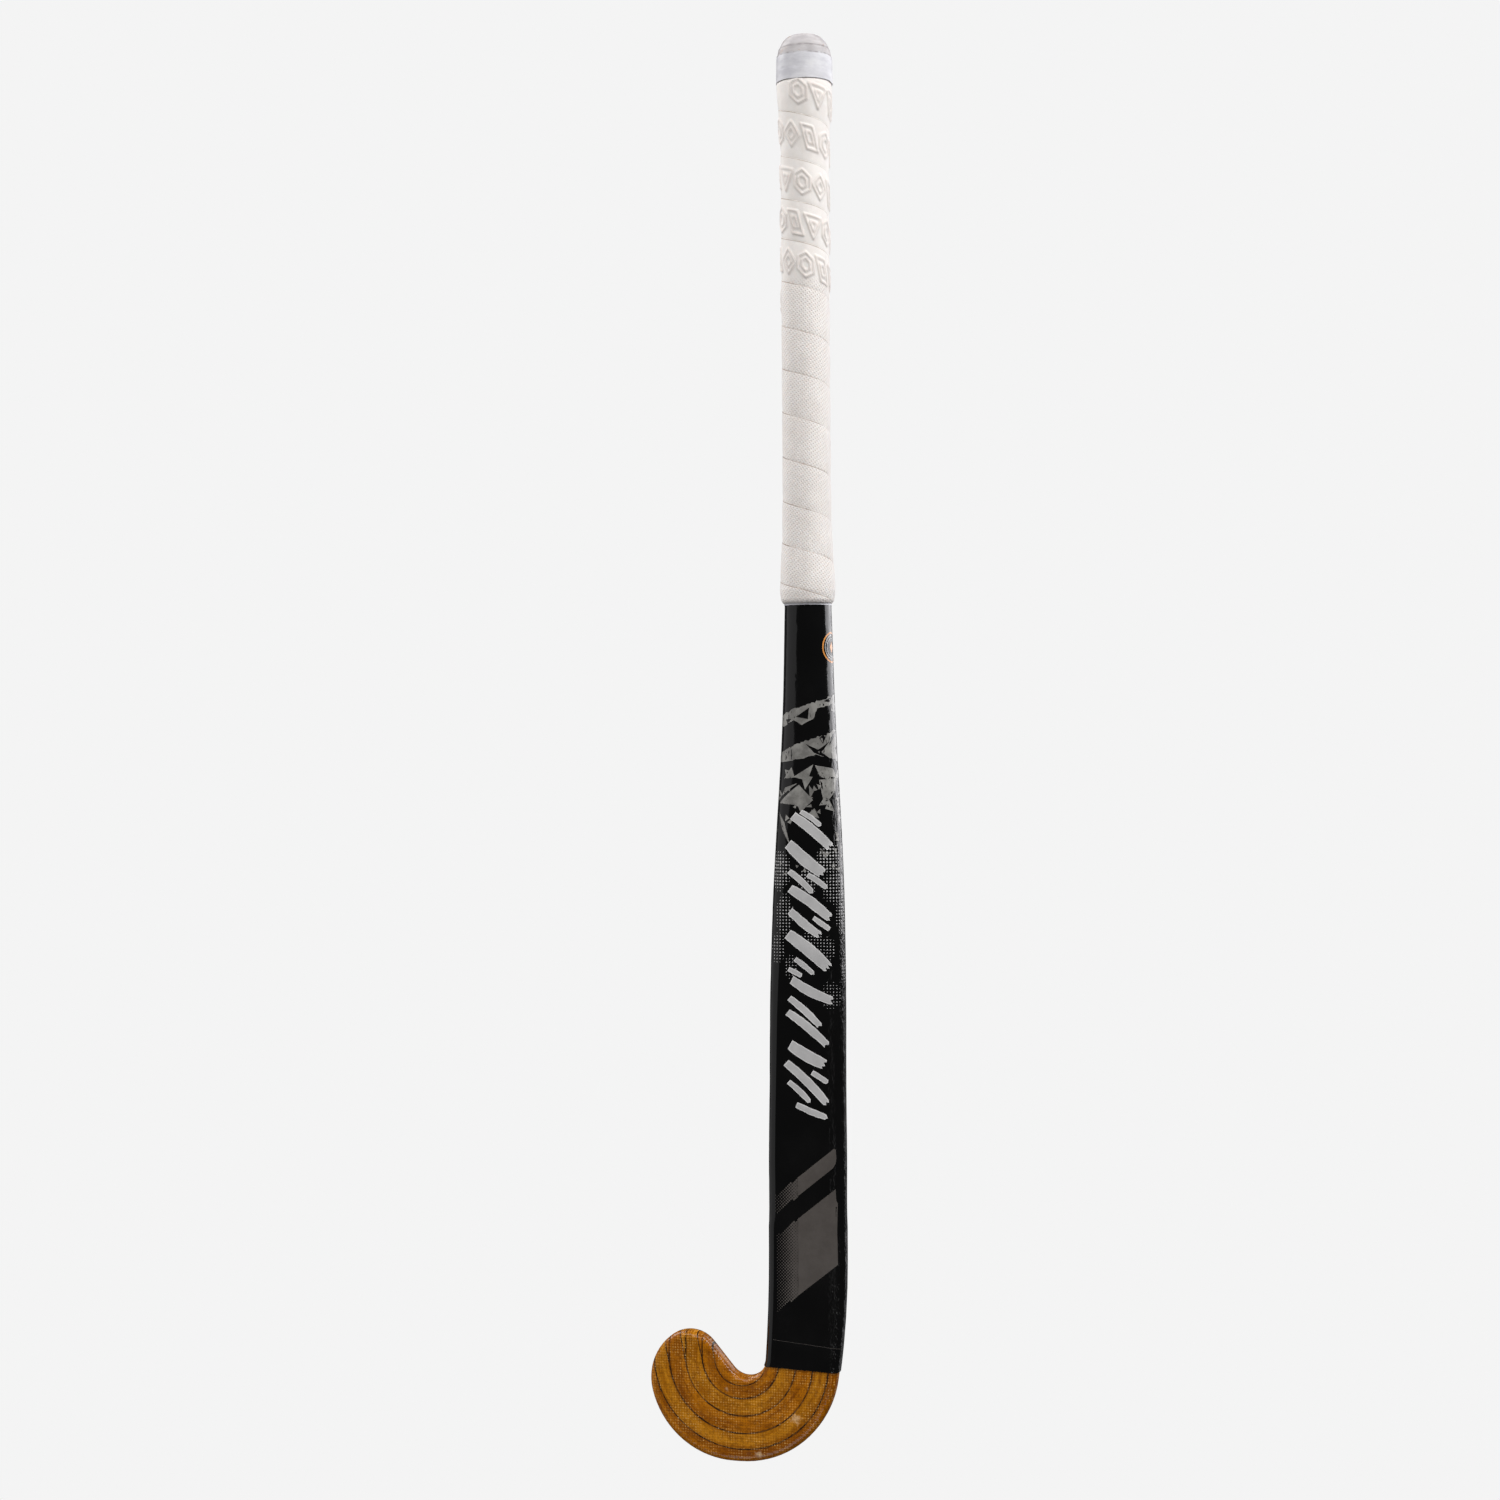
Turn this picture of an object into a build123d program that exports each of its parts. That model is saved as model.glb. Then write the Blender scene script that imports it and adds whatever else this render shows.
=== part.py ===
from build123d import *
from math import asin, atan2, cos, degrees, hypot, pi, radians, sin
import os

# Junior field hockey stick, 34 inch, in laminated mulberry with a hooked head.
# +Z runs up the stick, -Y is the flat playing side and the toe points to -X.
# The origin is on the stick's axis in the middle of the hand grip. Millimetres.

# ---- Stick and head -------------------------------------------------------------
butt_z = 180.0
stick_length = 864.0
sole_z = butt_z - stick_length
blade_top_z = -540.0
blade_width = 46.6
blade_depth = 20.0
face_edge_radius = 4.2
back_edge_radius = 13.5
bow_depth = 4.0
bow_top_z = 0.0

heel_radius = 60.6
heel_x = -42.0
heel_ease_z = -560.0
belly_radius = 53.1
belly_x = -46.5
belly_turn = 75.7
toe_side_radius = 32.65
toe_side_turn = 68.2
toe_tip_radius = 18.7
crook_x = -38.0
crook_z = -619.7
crook_radius = 12.4
crook_ease_z = -555.0

# ---- Laminations ----------------------------------------------------------------
ply_centre_x = -41.2
ply_centre_z = -621.0
ply_radii = [54.8, 45.2, 34.6, 24.1, 16.3]
ply_bend = 168.0
glue_thickness = 0.7

# ---- Handle tongue, let into the laminations as a V splice ----------------------
tongue_tip_z = -470.0
tongue_top_z = -310.0
tongue_half_width = 10.0
blunt_tip = 0.6
splice_glue = 0.4
centre_stave_width = 7.2
damper_thickness = 1.6

# ---- Skins over the wood --------------------------------------------------------
glass_thickness = 0.35
film_thickness = 0.35
film_bottom_z = -625.7
film_seam_z = -608.6
film_tilt = 2.2
skin_top_z = 157.0

# ---- Grip and end tape ----------------------------------------------------------
grip_bottom_z = -163.5
grip_top_z = 151.0
underlay_bottom_z = -160.5
underlay_top_z = -137.0
underlay_thickness = 0.8
base_tape_bottom_z = -164.7
base_tape_top_z = -161.5
base_tape_thickness = 0.3

dome_base_z = 157.0
dome_width = 29.6
dome_depth = 29.8
dome_fullness = 3.1
dome_cut = 0.975
dome_corner_radius = 13.2
inner_tape_grow = 1.25
middle_tape_grow = 1.6
outer_tape_grow = 1.95
middle_tape_top_z = 171.5
outer_tape_top_z = 167.0

# Wood sections up the shaft: height, width, depth, face edge radius, back edge radius.
shaft_sections = [
    (blade_top_z, blade_width, blade_depth, face_edge_radius, back_edge_radius),
    (-505, 46.2, 20.0, 4.2, 13.5),
    (-470, 45.6, 20.0, 4.3, 13.5),
    (-435, 45.2, 20.2, 4.6, 13.5),
    (-400, 44.9, 20.6, 5.3, 13.3),
    (-370, 43.8, 21.0, 6.4, 12.9),
    (-340, 42.1, 21.5, 7.6, 12.2),
    (-312, 39.5, 22.1, 8.8, 11.6),
    (-288, 36.8, 22.7, 9.8, 11.2),
    (-264, 33.8, 23.2, 10.6, 10.8),
    (-240, 31.3, 23.7, 11.2, 10.7),
    (-216, 29.4, 24.1, 11.5, 10.7),
    (-192, 28.0, 24.6, 11.6, 10.8),
    (-168, 26.6, 25.0, 11.5, 10.9),
    (-140, 25.4, 25.3, 11.2, 11.0),
    (-105, 24.7, 25.5, 10.9, 10.9),
    (-75, 24.5, 25.5, 10.8, 10.8),
    (-50, 24.5, 25.5, 10.8, 10.8),
    (-25, 24.5, 25.5, 10.8, 10.8),
    (0, 24.5, 25.5, 10.8, 10.8),
    (25, 24.5, 25.5, 10.8, 10.8),
    (50, 24.5, 25.5, 10.8, 10.8),
    (75, 24.5, 25.5, 10.8, 10.8),
    (100, 24.6, 25.5, 10.8, 10.8),
]
butt_flare_sections = [
    (100, 24.6, 25.5, 10.8, 10.8),
    (116, 25.0, 25.8, 11.1, 11.1),
    (130, 26.7, 27.4, 11.9, 11.9),
    (142, 28.8, 29.2, 12.9, 12.9),
    (dome_base_z, dome_width, dome_depth, dome_corner_radius, dome_corner_radius),
]
grip_roundness = 0.46

# Outside of the wrapped grip: height, width, depth.
grip_sections = [
    (grip_bottom_z, 29.6, 30.2),
    (-161.5, 31.6, 32.0),
    (-156, 33.0, 33.4),
    (-147, 32.4, 32.9),
    (-135, 30.8, 31.5),
    (-118, 29.4, 30.2),
    (-95, 28.7, 29.6),
    (0, 28.5, 29.5),
    (95, 28.6, 29.5),
    (114, 28.9, 29.8),
    (127, 30.4, 31.1),
    (140, 32.3, 32.7),
    (grip_top_z, 33.1, 33.4),
]

dome_height = (butt_z - dome_base_z) / dome_cut - inner_tape_grow
skin_grow = glass_thickness + film_thickness
wide_cut = 200.0
spare = 10.0


def bow_at(z):
    """How far the stick's axis stands back from the straight line at height z."""
    along = min(max((z - blade_top_z) / (bow_top_z - blade_top_z), 0.0), 1.0)
    return bow_depth * sin(pi * along) ** 2


def on_circle(centre, radius, angle):
    """The point at an angle in degrees round a circle."""
    return (centre[0] + radius * cos(radians(angle)), centre[1] + radius * sin(radians(angle)))


def easing_radius(edge_x, start_z, centre, radius):
    """Radius of the long arc that leaves a straight edge and runs into a head circle."""
    across = centre[0] - edge_x
    down = centre[1] - start_z
    return (radius**2 - across**2 - down**2) / (2 * (across + radius))


def easing_angle(edge_x, start_z, centre, ease):
    """Angle at which that long arc meets the head circle."""
    return degrees(atan2(centre[1] - start_z, centre[0] - (edge_x - ease)))


def draw_head_outline():
    """Closed outline of head and blade, all arcs tangent, drawn in the X-Z plane."""
    half = blade_width / 2
    heel = (heel_x, sole_z + heel_radius)
    belly = (belly_x, sole_z + belly_radius)
    crook = (crook_x, crook_z)
    belly_end = 270 - belly_turn
    toe_side = on_circle(belly, belly_radius - toe_side_radius, belly_end)
    toe_side_end = belly_end - toe_side_turn
    toe_tip = on_circle(toe_side, toe_side_radius - toe_tip_radius, toe_side_end)

    reach = hypot(crook[0] - toe_tip[0], crook[1] - toe_tip[1])
    to_crook = degrees(atan2(crook[1] - toe_tip[1], crook[0] - toe_tip[0]))
    inner_edge = 90 + to_crook - degrees(asin((toe_tip_radius + crook_radius) / reach))

    heel_ease = easing_radius(half, heel_ease_z, heel, heel_radius)
    heel_start = easing_angle(half, heel_ease_z, heel, heel_ease)
    crook_ease = easing_radius(-half, crook_ease_z, crook, crook_radius)
    crook_end = easing_angle(-half, crook_ease_z, crook, crook_ease)
    above = blade_top_z + spare

    CenterArc((half - heel_ease, heel_ease_z), heel_ease, 0, heel_start)
    CenterArc(heel, heel_radius, heel_start, -90 - heel_start)
    Line((heel_x, sole_z), (belly_x, sole_z))
    CenterArc(belly, belly_radius, 270, -belly_turn)
    CenterArc(toe_side, toe_side_radius, belly_end, -toe_side_turn)
    CenterArc(toe_tip, toe_tip_radius, toe_side_end, inner_edge - toe_side_end)
    Line(on_circle(toe_tip, toe_tip_radius, inner_edge), on_circle(crook, -crook_radius, inner_edge))
    CenterArc(crook, crook_radius, inner_edge + 180, 180 + crook_end - inner_edge)
    CenterArc((-half - crook_ease, crook_ease_z), crook_ease, crook_end, -crook_end)
    Polyline((-half, crook_ease_z), (-half, above), (half, above), (half, heel_ease_z))


def draw_section(width, depth, face_radius, back_radius, grow):
    """One cross-section of the stick: flat towards -Y, rounder towards +Y."""
    Rectangle(width + 2 * grow, depth + 2 * grow)
    corners = vertices().group_by(Axis.Y)
    fillet(corners[0], radius=face_radius + grow)
    corners = vertices().group_by(Axis.Y)
    fillet(corners[-1], radius=back_radius + grow)


def make_shaft(sections, grow):
    """Lofts the wood sections, each pushed out by grow and set back by the bow."""
    with BuildPart() as shaft:
        for z, width, depth, face_radius, back_radius in sections:
            with BuildSketch(Plane((0, bow_at(z), z))):
                draw_section(width, depth, face_radius, back_radius, grow)
        loft()
    return shaft.part


def make_dome(grow):
    """Rounded butt end: fuller than an ellipse in side view, cut flat at the very top."""
    with BuildPart() as dome:
        for share in (0, 0.3, 0.5, 0.66, 0.79, 0.88, 0.94, dome_cut):
            scale = (1 - share**dome_fullness) ** (1 / dome_fullness)
            width = (dome_width + 2 * grow) * scale
            depth = (dome_depth + 2 * grow) * scale
            with BuildSketch(Plane.XY.offset(dome_base_z + share * (dome_height + grow))):
                RectangleRounded(width, depth, (dome_corner_radius + grow) * scale)
        loft()
    return dome.part


def make_blank(grow):
    """Head, shaft and handle as one body with every surface pushed out by grow."""
    shaft = make_shaft(shaft_sections, grow)
    flare = make_shaft(butt_flare_sections, grow)
    dome = make_dome(grow)
    with BuildPart() as blank:
        with BuildSketch(Plane.XZ.offset(blade_depth / 2 + grow)):
            with BuildLine():
                draw_head_outline()
            make_face()
            if grow > 0:
                offset(amount=grow, kind=Kind.INTERSECTION)
            with Locations((0, blade_top_z + wide_cut / 2)):
                Rectangle(wide_cut, wide_cut, mode=Mode.SUBTRACT)
        extrude(amount=-(blade_depth + 2 * grow))
        side_edges = blank.edges().filter_by(Plane.XZ).group_by(Axis.Y)
        face_edges = side_edges[0].sort_by(Axis.Z)[:-1]
        back_edges = side_edges[-1].sort_by(Axis.Z)[:-1]
        fillet(face_edges, radius=face_edge_radius + grow)
        fillet(back_edges, radius=back_edge_radius + grow)
        add([shaft, flare, dome])
    return blank.part


def draw_bend(radius):
    """Outline of everything on the crook side of a lamination line of the given radius."""
    centre = (ply_centre_x, ply_centre_z)
    toe_start = on_circle(centre, radius, -ply_bend)
    toe_end = on_circle(toe_start, wide_cut / 2, -ply_bend - 90)
    shaft_x = ply_centre_x + radius
    CenterArc(centre, radius, 0, -ply_bend)
    Polyline(toe_start, toe_end, (shaft_x, butt_z), (shaft_x, ply_centre_z))


def draw_tongue(gap):
    """Outline of the handle with its V tongue and level shoulders, pushed out by gap."""
    tip_z = tongue_tip_z - gap
    shoulder_z = tongue_top_z - gap
    root = tongue_half_width + gap
    side = wide_cut / 2
    above = butt_z + spare
    Polyline((blunt_tip + gap, tip_z), (root, shoulder_z), (side, shoulder_z), (side, above))
    Polyline((side, above), (-side, above), (-side, shoulder_z), (-root, shoulder_z))
    Polyline((-root, shoulder_z), (-blunt_tip - gap, tip_z), (blunt_tip + gap, tip_z))


def make_lamination(wood, outside_radius, inside_radius):
    """The wood between two bend radii, up to the handle's tongue. None means no limit."""
    with BuildPart() as lamination:
        add(wood)
        with BuildSketch(Plane.XZ):
            if outside_radius is None:
                Rectangle(spare * wide_cut, spare * wide_cut)
            else:
                with BuildLine():
                    draw_bend(outside_radius)
                make_face()
            if inside_radius is not None:
                with BuildLine():
                    draw_bend(inside_radius)
                make_face(mode=Mode.SUBTRACT)
            with BuildLine():
                draw_tongue(splice_glue)
            make_face(mode=Mode.SUBTRACT)
        extrude(amount=wide_cut, both=True, mode=Mode.INTERSECT)
    return lamination.part


def make_stave(wood, left_x, right_x):
    """One upright strip of the handle, from its tongue to the butt."""
    with BuildPart() as stave:
        add(wood)
        with BuildSketch(Plane.XZ):
            with BuildLine():
                draw_tongue(0)
            make_face()
            with Locations(((left_x + right_x) / 2, 0)):
                Rectangle(right_x - left_x, spare * wide_cut, mode=Mode.INTERSECT)
        extrude(amount=wide_cut, both=True, mode=Mode.INTERSECT)
    return stave.part


def level(z, tilt=0.0):
    """A level plane at height z, tilted down towards the heel side by tilt degrees."""
    return Plane((0, 0, z)).rotated((0, tilt, 0))


def save(piece, name):
    """Labels a finished piece and writes it to its own file."""
    piece.label = name
    export_step(piece, f"parts/{name}.step")


def make_band(outer, inner, low_plane, high_plane):
    """A skin between two bodies, from one plane up to another, on the shaft's side only."""
    with BuildPart() as band:
        add(outer)
        split(bisect_by=low_plane, keep=Keep.TOP)
        split(bisect_by=high_plane, keep=Keep.BOTTOM)
        split(bisect_by=Plane.YZ.offset(crook_x), keep=Keep.TOP)
        add(inner, mode=Mode.SUBTRACT)
    return band.part


def make_butt(grow):
    """The rounded butt with every surface pushed out by grow."""
    dome = make_dome(grow)
    with BuildPart() as butt:
        with BuildSketch(Plane.XY.offset(grip_top_z)):
            width = dome_width + 2 * grow
            RectangleRounded(width, dome_depth + 2 * grow, dome_corner_radius + grow)
        extrude(amount=dome_base_z - grip_top_z)
        add(dome)
    return butt.part


os.makedirs("parts", exist_ok=True)
wood = make_blank(0)
glass_outside = make_blank(glass_thickness)
film_outside = make_blank(skin_grow)

# Head laminations and the glue between them.
ply_names = ["ply_1_heel", "ply_2", "ply_3", "ply_4", "ply_5", "ply_6_crook"]
half_glue = glue_thickness / 2
ply_outsides = [None] + [radius - half_glue for radius in ply_radii]
ply_insides = [radius + half_glue for radius in ply_radii] + [None]
for ply_name, outside, inside in zip(ply_names, ply_outsides, ply_insides):
    save(make_lamination(wood, outside, inside), ply_name)
for number, radius in enumerate(ply_radii, start=1):
    save(make_lamination(wood, radius + half_glue, radius - half_glue), f"glue_line_{number}")

# Handle: three staves, two rubber dampers and the glue of the splice.
inner_x = centre_stave_width / 2
outer_x = inner_x + damper_thickness
save(make_stave(wood, -wide_cut, -outer_x), "handle_stave_left")
save(make_stave(wood, -outer_x, -inner_x), "handle_damper_left")
save(make_stave(wood, -inner_x, inner_x), "handle_stave_centre")
save(make_stave(wood, inner_x, outer_x), "handle_damper_right")
save(make_stave(wood, outer_x, wide_cut), "handle_stave_right")

with BuildPart() as splice_glue_layer:
    add(wood)
    with BuildSketch(Plane.XZ):
        with BuildLine():
            draw_tongue(splice_glue)
        make_face()
        with BuildLine():
            draw_tongue(0)
        make_face(mode=Mode.SUBTRACT)
    extrude(amount=wide_cut, both=True, mode=Mode.INTERSECT)
save(splice_glue_layer.part, "splice_glue")

# Skins: glass cloth, then the printed film and the plain band at its lower end.
film_bottom = level(film_bottom_z, film_tilt)
film_seam = level(film_seam_z, film_tilt)
skin_top = level(skin_top_z)
save(make_band(glass_outside, wood, film_bottom, skin_top), "glass_sleeve")
save(make_band(film_outside, glass_outside, film_bottom, film_seam), "film_lower_band")
save(make_band(film_outside, glass_outside, film_seam, skin_top), "film_sleeve")

# Grip: its starting tape, the underlay turn and the wrapped chamois itself.
base_tape_outside = make_blank(skin_grow + base_tape_thickness)
underlay_outside = make_blank(skin_grow + underlay_thickness)
base_tape = make_band(
    base_tape_outside, film_outside, level(base_tape_bottom_z), level(base_tape_top_z)
)
underlay = make_band(
    underlay_outside, film_outside, level(underlay_bottom_z), level(underlay_top_z)
)
save(base_tape, "grip_base_tape")
save(underlay, "grip_underlay")

with BuildPart() as grip_wrap:
    for z, width, depth in grip_sections:
        with BuildSketch(Plane((0, bow_at(z), z))):
            RectangleRounded(width, depth, grip_roundness * width)
    loft(ruled=True)
    add(film_outside, mode=Mode.SUBTRACT)
    add(underlay, mode=Mode.SUBTRACT)
    add(base_tape, mode=Mode.SUBTRACT)
save(grip_wrap.part, "grip_wrap")

# End tape: one piece over the dome and two wraps round it.
inner_butt = make_butt(inner_tape_grow)
middle_butt = make_butt(middle_tape_grow)
outer_butt = make_butt(outer_tape_grow)
with BuildPart() as skinned_handle:
    add(film_outside)
    split(bisect_by=skin_top, keep=Keep.BOTTOM)
    add(wood)

with BuildPart() as end_tape_cover:
    add(inner_butt)
    add(skinned_handle.part, mode=Mode.SUBTRACT)
save(end_tape_cover.part, "end_tape_cover")

with BuildPart() as end_tape_middle:
    add(middle_butt)
    add(inner_butt, mode=Mode.SUBTRACT)
    split(bisect_by=level(middle_tape_top_z), keep=Keep.BOTTOM)
save(end_tape_middle.part, "end_tape_middle")

with BuildPart() as end_tape_outer:
    add(outer_butt)
    add(middle_butt, mode=Mode.SUBTRACT)
    split(bisect_by=level(outer_tape_top_z), keep=Keep.BOTTOM)
save(end_tape_outer.part, "end_tape_outer")
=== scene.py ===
import math
import random

import bmesh
import bpy
import numpy as np
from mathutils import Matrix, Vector
from mathutils.bvhtree import BVHTree
from mathutils.geometry import delaunay_2d_cdt


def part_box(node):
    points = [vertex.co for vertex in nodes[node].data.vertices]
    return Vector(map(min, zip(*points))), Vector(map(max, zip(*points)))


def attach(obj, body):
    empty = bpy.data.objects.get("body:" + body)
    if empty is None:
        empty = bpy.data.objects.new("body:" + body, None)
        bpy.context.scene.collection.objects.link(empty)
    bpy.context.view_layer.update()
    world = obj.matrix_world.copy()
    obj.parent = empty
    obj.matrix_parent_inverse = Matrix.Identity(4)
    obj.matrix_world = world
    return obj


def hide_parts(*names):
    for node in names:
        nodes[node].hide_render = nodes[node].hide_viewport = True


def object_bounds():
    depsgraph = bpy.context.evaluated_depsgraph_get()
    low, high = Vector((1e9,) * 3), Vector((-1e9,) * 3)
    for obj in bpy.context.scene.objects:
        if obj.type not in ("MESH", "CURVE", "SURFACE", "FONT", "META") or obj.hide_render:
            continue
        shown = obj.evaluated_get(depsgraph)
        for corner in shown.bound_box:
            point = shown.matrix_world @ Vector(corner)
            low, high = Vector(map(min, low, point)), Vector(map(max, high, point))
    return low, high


# Junior field hockey stick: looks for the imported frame. The frame is in metres, +Z up
# the stick, -Y out of the playing face. Sizes in capitals below are in millimetres.

MM = 0.001
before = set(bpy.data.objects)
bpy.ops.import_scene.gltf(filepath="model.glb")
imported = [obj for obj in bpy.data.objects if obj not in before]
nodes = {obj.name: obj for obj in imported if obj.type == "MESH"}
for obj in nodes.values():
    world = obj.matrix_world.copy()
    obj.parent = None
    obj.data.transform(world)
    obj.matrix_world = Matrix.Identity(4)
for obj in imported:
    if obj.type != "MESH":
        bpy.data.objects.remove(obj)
packed_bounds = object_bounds()

# ---- Sizes of the wrapped grip --------------------------------------------------------
# Heights at the front of the strip's exposed edges, one for each turn, from the top.
TURN_EDGES = [130.1, 102.5, 77.3, 53.3, 27.2, -0.1, -25.9, -52.3, -79.5, -106.2, -131.4, -155.1]
TURN_PITCH = 26.3
TURN_STEP = 0.16
TURN_SWELL = 0.34
TURN_LENGTH = 91.7
FIRST_TURN = -2.0
TURNS_PAST_LAST_EDGE = 0.3
ROW_CROWDING = 0.11
LAP_REACH = 0.12
EDGE_ROUNDING = 0.12
EDGE_ROUNDING_REACH = 0.30
SLACK = 0.10
SLACK_WAVES = 0.21
END_ROUNDING = 0.35
END_ROUNDING_REACH = 0.8
TUCKED_UNDER = 0.6
SLEEVE_DEPTH = 1.2
SLEEVE_RINGS = 60
GRIP_COLUMNS = 168
GRIP_ROWS = 44
SKIN_COLUMNS = 72
EMBOSSED_TURNS = 5
EMBOSS_HEIGHT = 0.80
EMBOSS_WIDTH = 0.60
EMBOSS_SPACING = 10.9
EMBOSS_REACH = 9.0
EMBOSS_END_TURN = 3.8

# ---- Sizes of the head's laminations: radii of the glue lines, and their thickness.
PLY_RADII = [54.8, 45.2, 34.6, 24.1, 16.3]
GLUE = 0.7

# ---- Sizes of the prints: u runs round the shaft from the middle of the face, z is height.
PRINT_THICKNESS = 0.05
HALFTONE_PITCH = 1.95
HALFTONE_TOP = -306.0
FADE_START, FADE_END, FADE_PITCH = -18.5, -5.0, 1.9
FILM_LOW, FILM_HIGH = -606.0, -160.0
FILM_COLUMNS = 360
FILM_REACH = 70.0
FILM_STEP = 0.5
BADGE_CENTRE = (21.2, -190.2)

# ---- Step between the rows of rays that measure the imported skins.
SKIN_ROW_STEP = 2.0

# ---- Sizes of textures: the glass cloth's weave and the grip's perforations.
WEAVE_PITCH = 1.6
PRICK_PITCH = 1.2


def add_object(name, data):
    """A new object in the scene."""
    added = bpy.data.objects.new(name, data)
    bpy.context.scene.collection.objects.link(added)
    return added


# ---- Shader helpers ------------------------------------------------------------------
def new_material(name):
    """An empty material, its node tree and its Principled shader."""
    material = bpy.data.materials.new(name)
    material.use_nodes = True
    tree = material.node_tree
    return material, tree, tree.nodes["Principled BSDF"]


def put(tree, socket, value):
    """Links a socket or sets a plain value."""
    if isinstance(value, bpy.types.NodeSocket):
        tree.links.new(value, socket)
    else:
        socket.default_value = value


def calc(tree, operation, *values):
    """One Math node."""
    node = tree.nodes.new("ShaderNodeMath")
    node.operation = operation
    for socket, value in zip(node.inputs, values):
        put(tree, socket, value)
    return node.outputs[0]


def product(tree, first, second):
    """Two values multiplied."""
    return calc(tree, "MULTIPLY", first, second)


def place(tree):
    """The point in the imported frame, and its X, Y and Z, in metres."""
    coordinates = tree.nodes.new("ShaderNodeTexCoord")
    split = tree.nodes.new("ShaderNodeSeparateXYZ")
    tree.links.new(coordinates.outputs["Object"], split.inputs[0])
    return coordinates.outputs["Object"], split.outputs


def vector(tree, x, y, z):
    """A vector from three sockets or values."""
    node = tree.nodes.new("ShaderNodeCombineXYZ")
    for socket, value in zip(node.inputs, (x, y, z)):
        put(tree, socket, value)
    return node.outputs[0]


def noise(tree, where, scale, detail=3.0, roughness=0.55, distortion=0.0):
    """Noise from about 0.3 to 0.7."""
    node = tree.nodes.new("ShaderNodeTexNoise")
    put(tree, node.inputs["Vector"], where)
    node.inputs["Scale"].default_value = scale
    node.inputs["Detail"].default_value = detail
    node.inputs["Roughness"].default_value = roughness
    node.inputs["Distortion"].default_value = distortion
    return node.outputs["Fac"]


def remap(tree, value, low, high, to_low=0.0, to_high=1.0):
    """Smooth step from low..high to to_low..to_high, clamped."""
    node = tree.nodes.new("ShaderNodeMapRange")
    node.interpolation_type = "SMOOTHSTEP"
    put(tree, node.inputs["Value"], value)
    node.inputs["From Min"].default_value = low
    node.inputs["From Max"].default_value = high
    node.inputs["To Min"].default_value = to_low
    node.inputs["To Max"].default_value = to_high
    return node.outputs["Result"]


def ramp(tree, value, stops):
    """Colour ramp: stops are (place, (r, g, b))."""
    node = tree.nodes.new("ShaderNodeValToRGB")
    put(tree, node.inputs["Fac"], value)
    elements = node.color_ramp.elements
    while len(elements) < len(stops):
        elements.new(0.5)
    for element, (position, colour) in zip(elements, stops):
        element.position = position
        element.color = (*colour, 1.0)
    return node.outputs["Color"]


def blend_colour(tree, factor, first, second):
    """Mixes two colours. Inputs 6 and 7 of the Mix node are its colours A and B."""
    node = tree.nodes.new("ShaderNodeMix")
    node.data_type = "RGBA"
    put(tree, node.inputs["Factor"], factor)
    for socket, value in zip((node.inputs[6], node.inputs[7]), (first, second)):
        if isinstance(value, tuple):
            value = (*value, 1.0)
        put(tree, socket, value)
    return node.outputs[2]


def add_bump(tree, shader, height, distance):
    """Relief: height is about 0 to 1, distance is its depth in metres."""
    node = tree.nodes.new("ShaderNodeBump")
    node.inputs["Strength"].default_value = 1.0
    node.inputs["Distance"].default_value = distance
    put(tree, node.inputs["Height"], height)
    tree.links.new(node.outputs["Normal"], shader.inputs["Normal"])
    return node.outputs["Normal"]


def set_shader(tree, shader, values):
    """Links the shader's inputs or sets them to plain values."""
    for name, value in values.items():
        put(tree, shader.inputs[name], value)


# ---- Materials -----------------------------------------------------------------------
def reach_of(tree, across, up):
    """Length of the step made by two distances at right angles."""
    squares = calc(tree, "MULTIPLY_ADD", across, across, product(tree, up, up))
    return calc(tree, "SQRT", squares)


def bend_coordinates(tree, parts):
    """Distance from the centre of the head's bend, and the run along the grain."""
    low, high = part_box("glue_line_2")
    outside = (PLY_RADII[1] + GLUE / 2) * MM
    across = calc(tree, "SUBTRACT", parts[0], high.x - outside)
    up = calc(tree, "SUBTRACT", parts[2], low.z + outside)
    down = calc(tree, "MINIMUM", up, 0.0)
    radius = reach_of(tree, across, down)
    angle = calc(tree, "ARCTAN2", calc(tree, "SUBTRACT", down, 1e-6), across)
    run = calc(tree, "MULTIPLY_ADD", angle, 0.042, calc(tree, "MAXIMUM", up, 0.0))
    return radius, run


def weave_speckle(tree, parts, where):
    """Light points where the glass cloth's threads cross, broken up unevenly."""
    turns = math.pi / (WEAVE_PITCH * MM)
    first = product(tree, calc(tree, "ADD", parts[0], parts[2]), turns)
    second = product(tree, calc(tree, "SUBTRACT", parts[0], parts[2]), turns)
    crossing = product(tree, calc(tree, "SINE", first), calc(tree, "SINE", second))
    patches = remap(tree, noise(tree, where, 85.0, 2.0), 0.36, 0.60)
    grains = remap(tree, noise(tree, where, 700.0, 3.0, 0.75), 0.44, 0.58)
    threads = remap(tree, crossing, 0.0, 0.8)
    return product(tree, product(tree, threads, grains), patches), crossing


def scuffs(tree, where, spots):
    """Small whitish rubbed places: spots are (x, z, radius) in millimetres."""
    split = tree.nodes.new("ShaderNodeSeparateXYZ")
    tree.links.new(where, split.inputs[0])
    ragged = noise(tree, where, 420.0, 4.0, 0.75)
    total = None
    for x, z, radius in spots:
        across = calc(tree, "SUBTRACT", split.outputs[0], x * MM)
        up = calc(tree, "SUBTRACT", split.outputs[2], z * MM)
        reach = calc(tree, "DIVIDE", reach_of(tree, across, up), radius * MM)
        mark = remap(tree, calc(tree, "MULTIPLY_ADD", ragged, 2.2, reach), 1.75, 1.15)
        total = mark if total is None else calc(tree, "MAXIMUM", total, mark)
    return total


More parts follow.
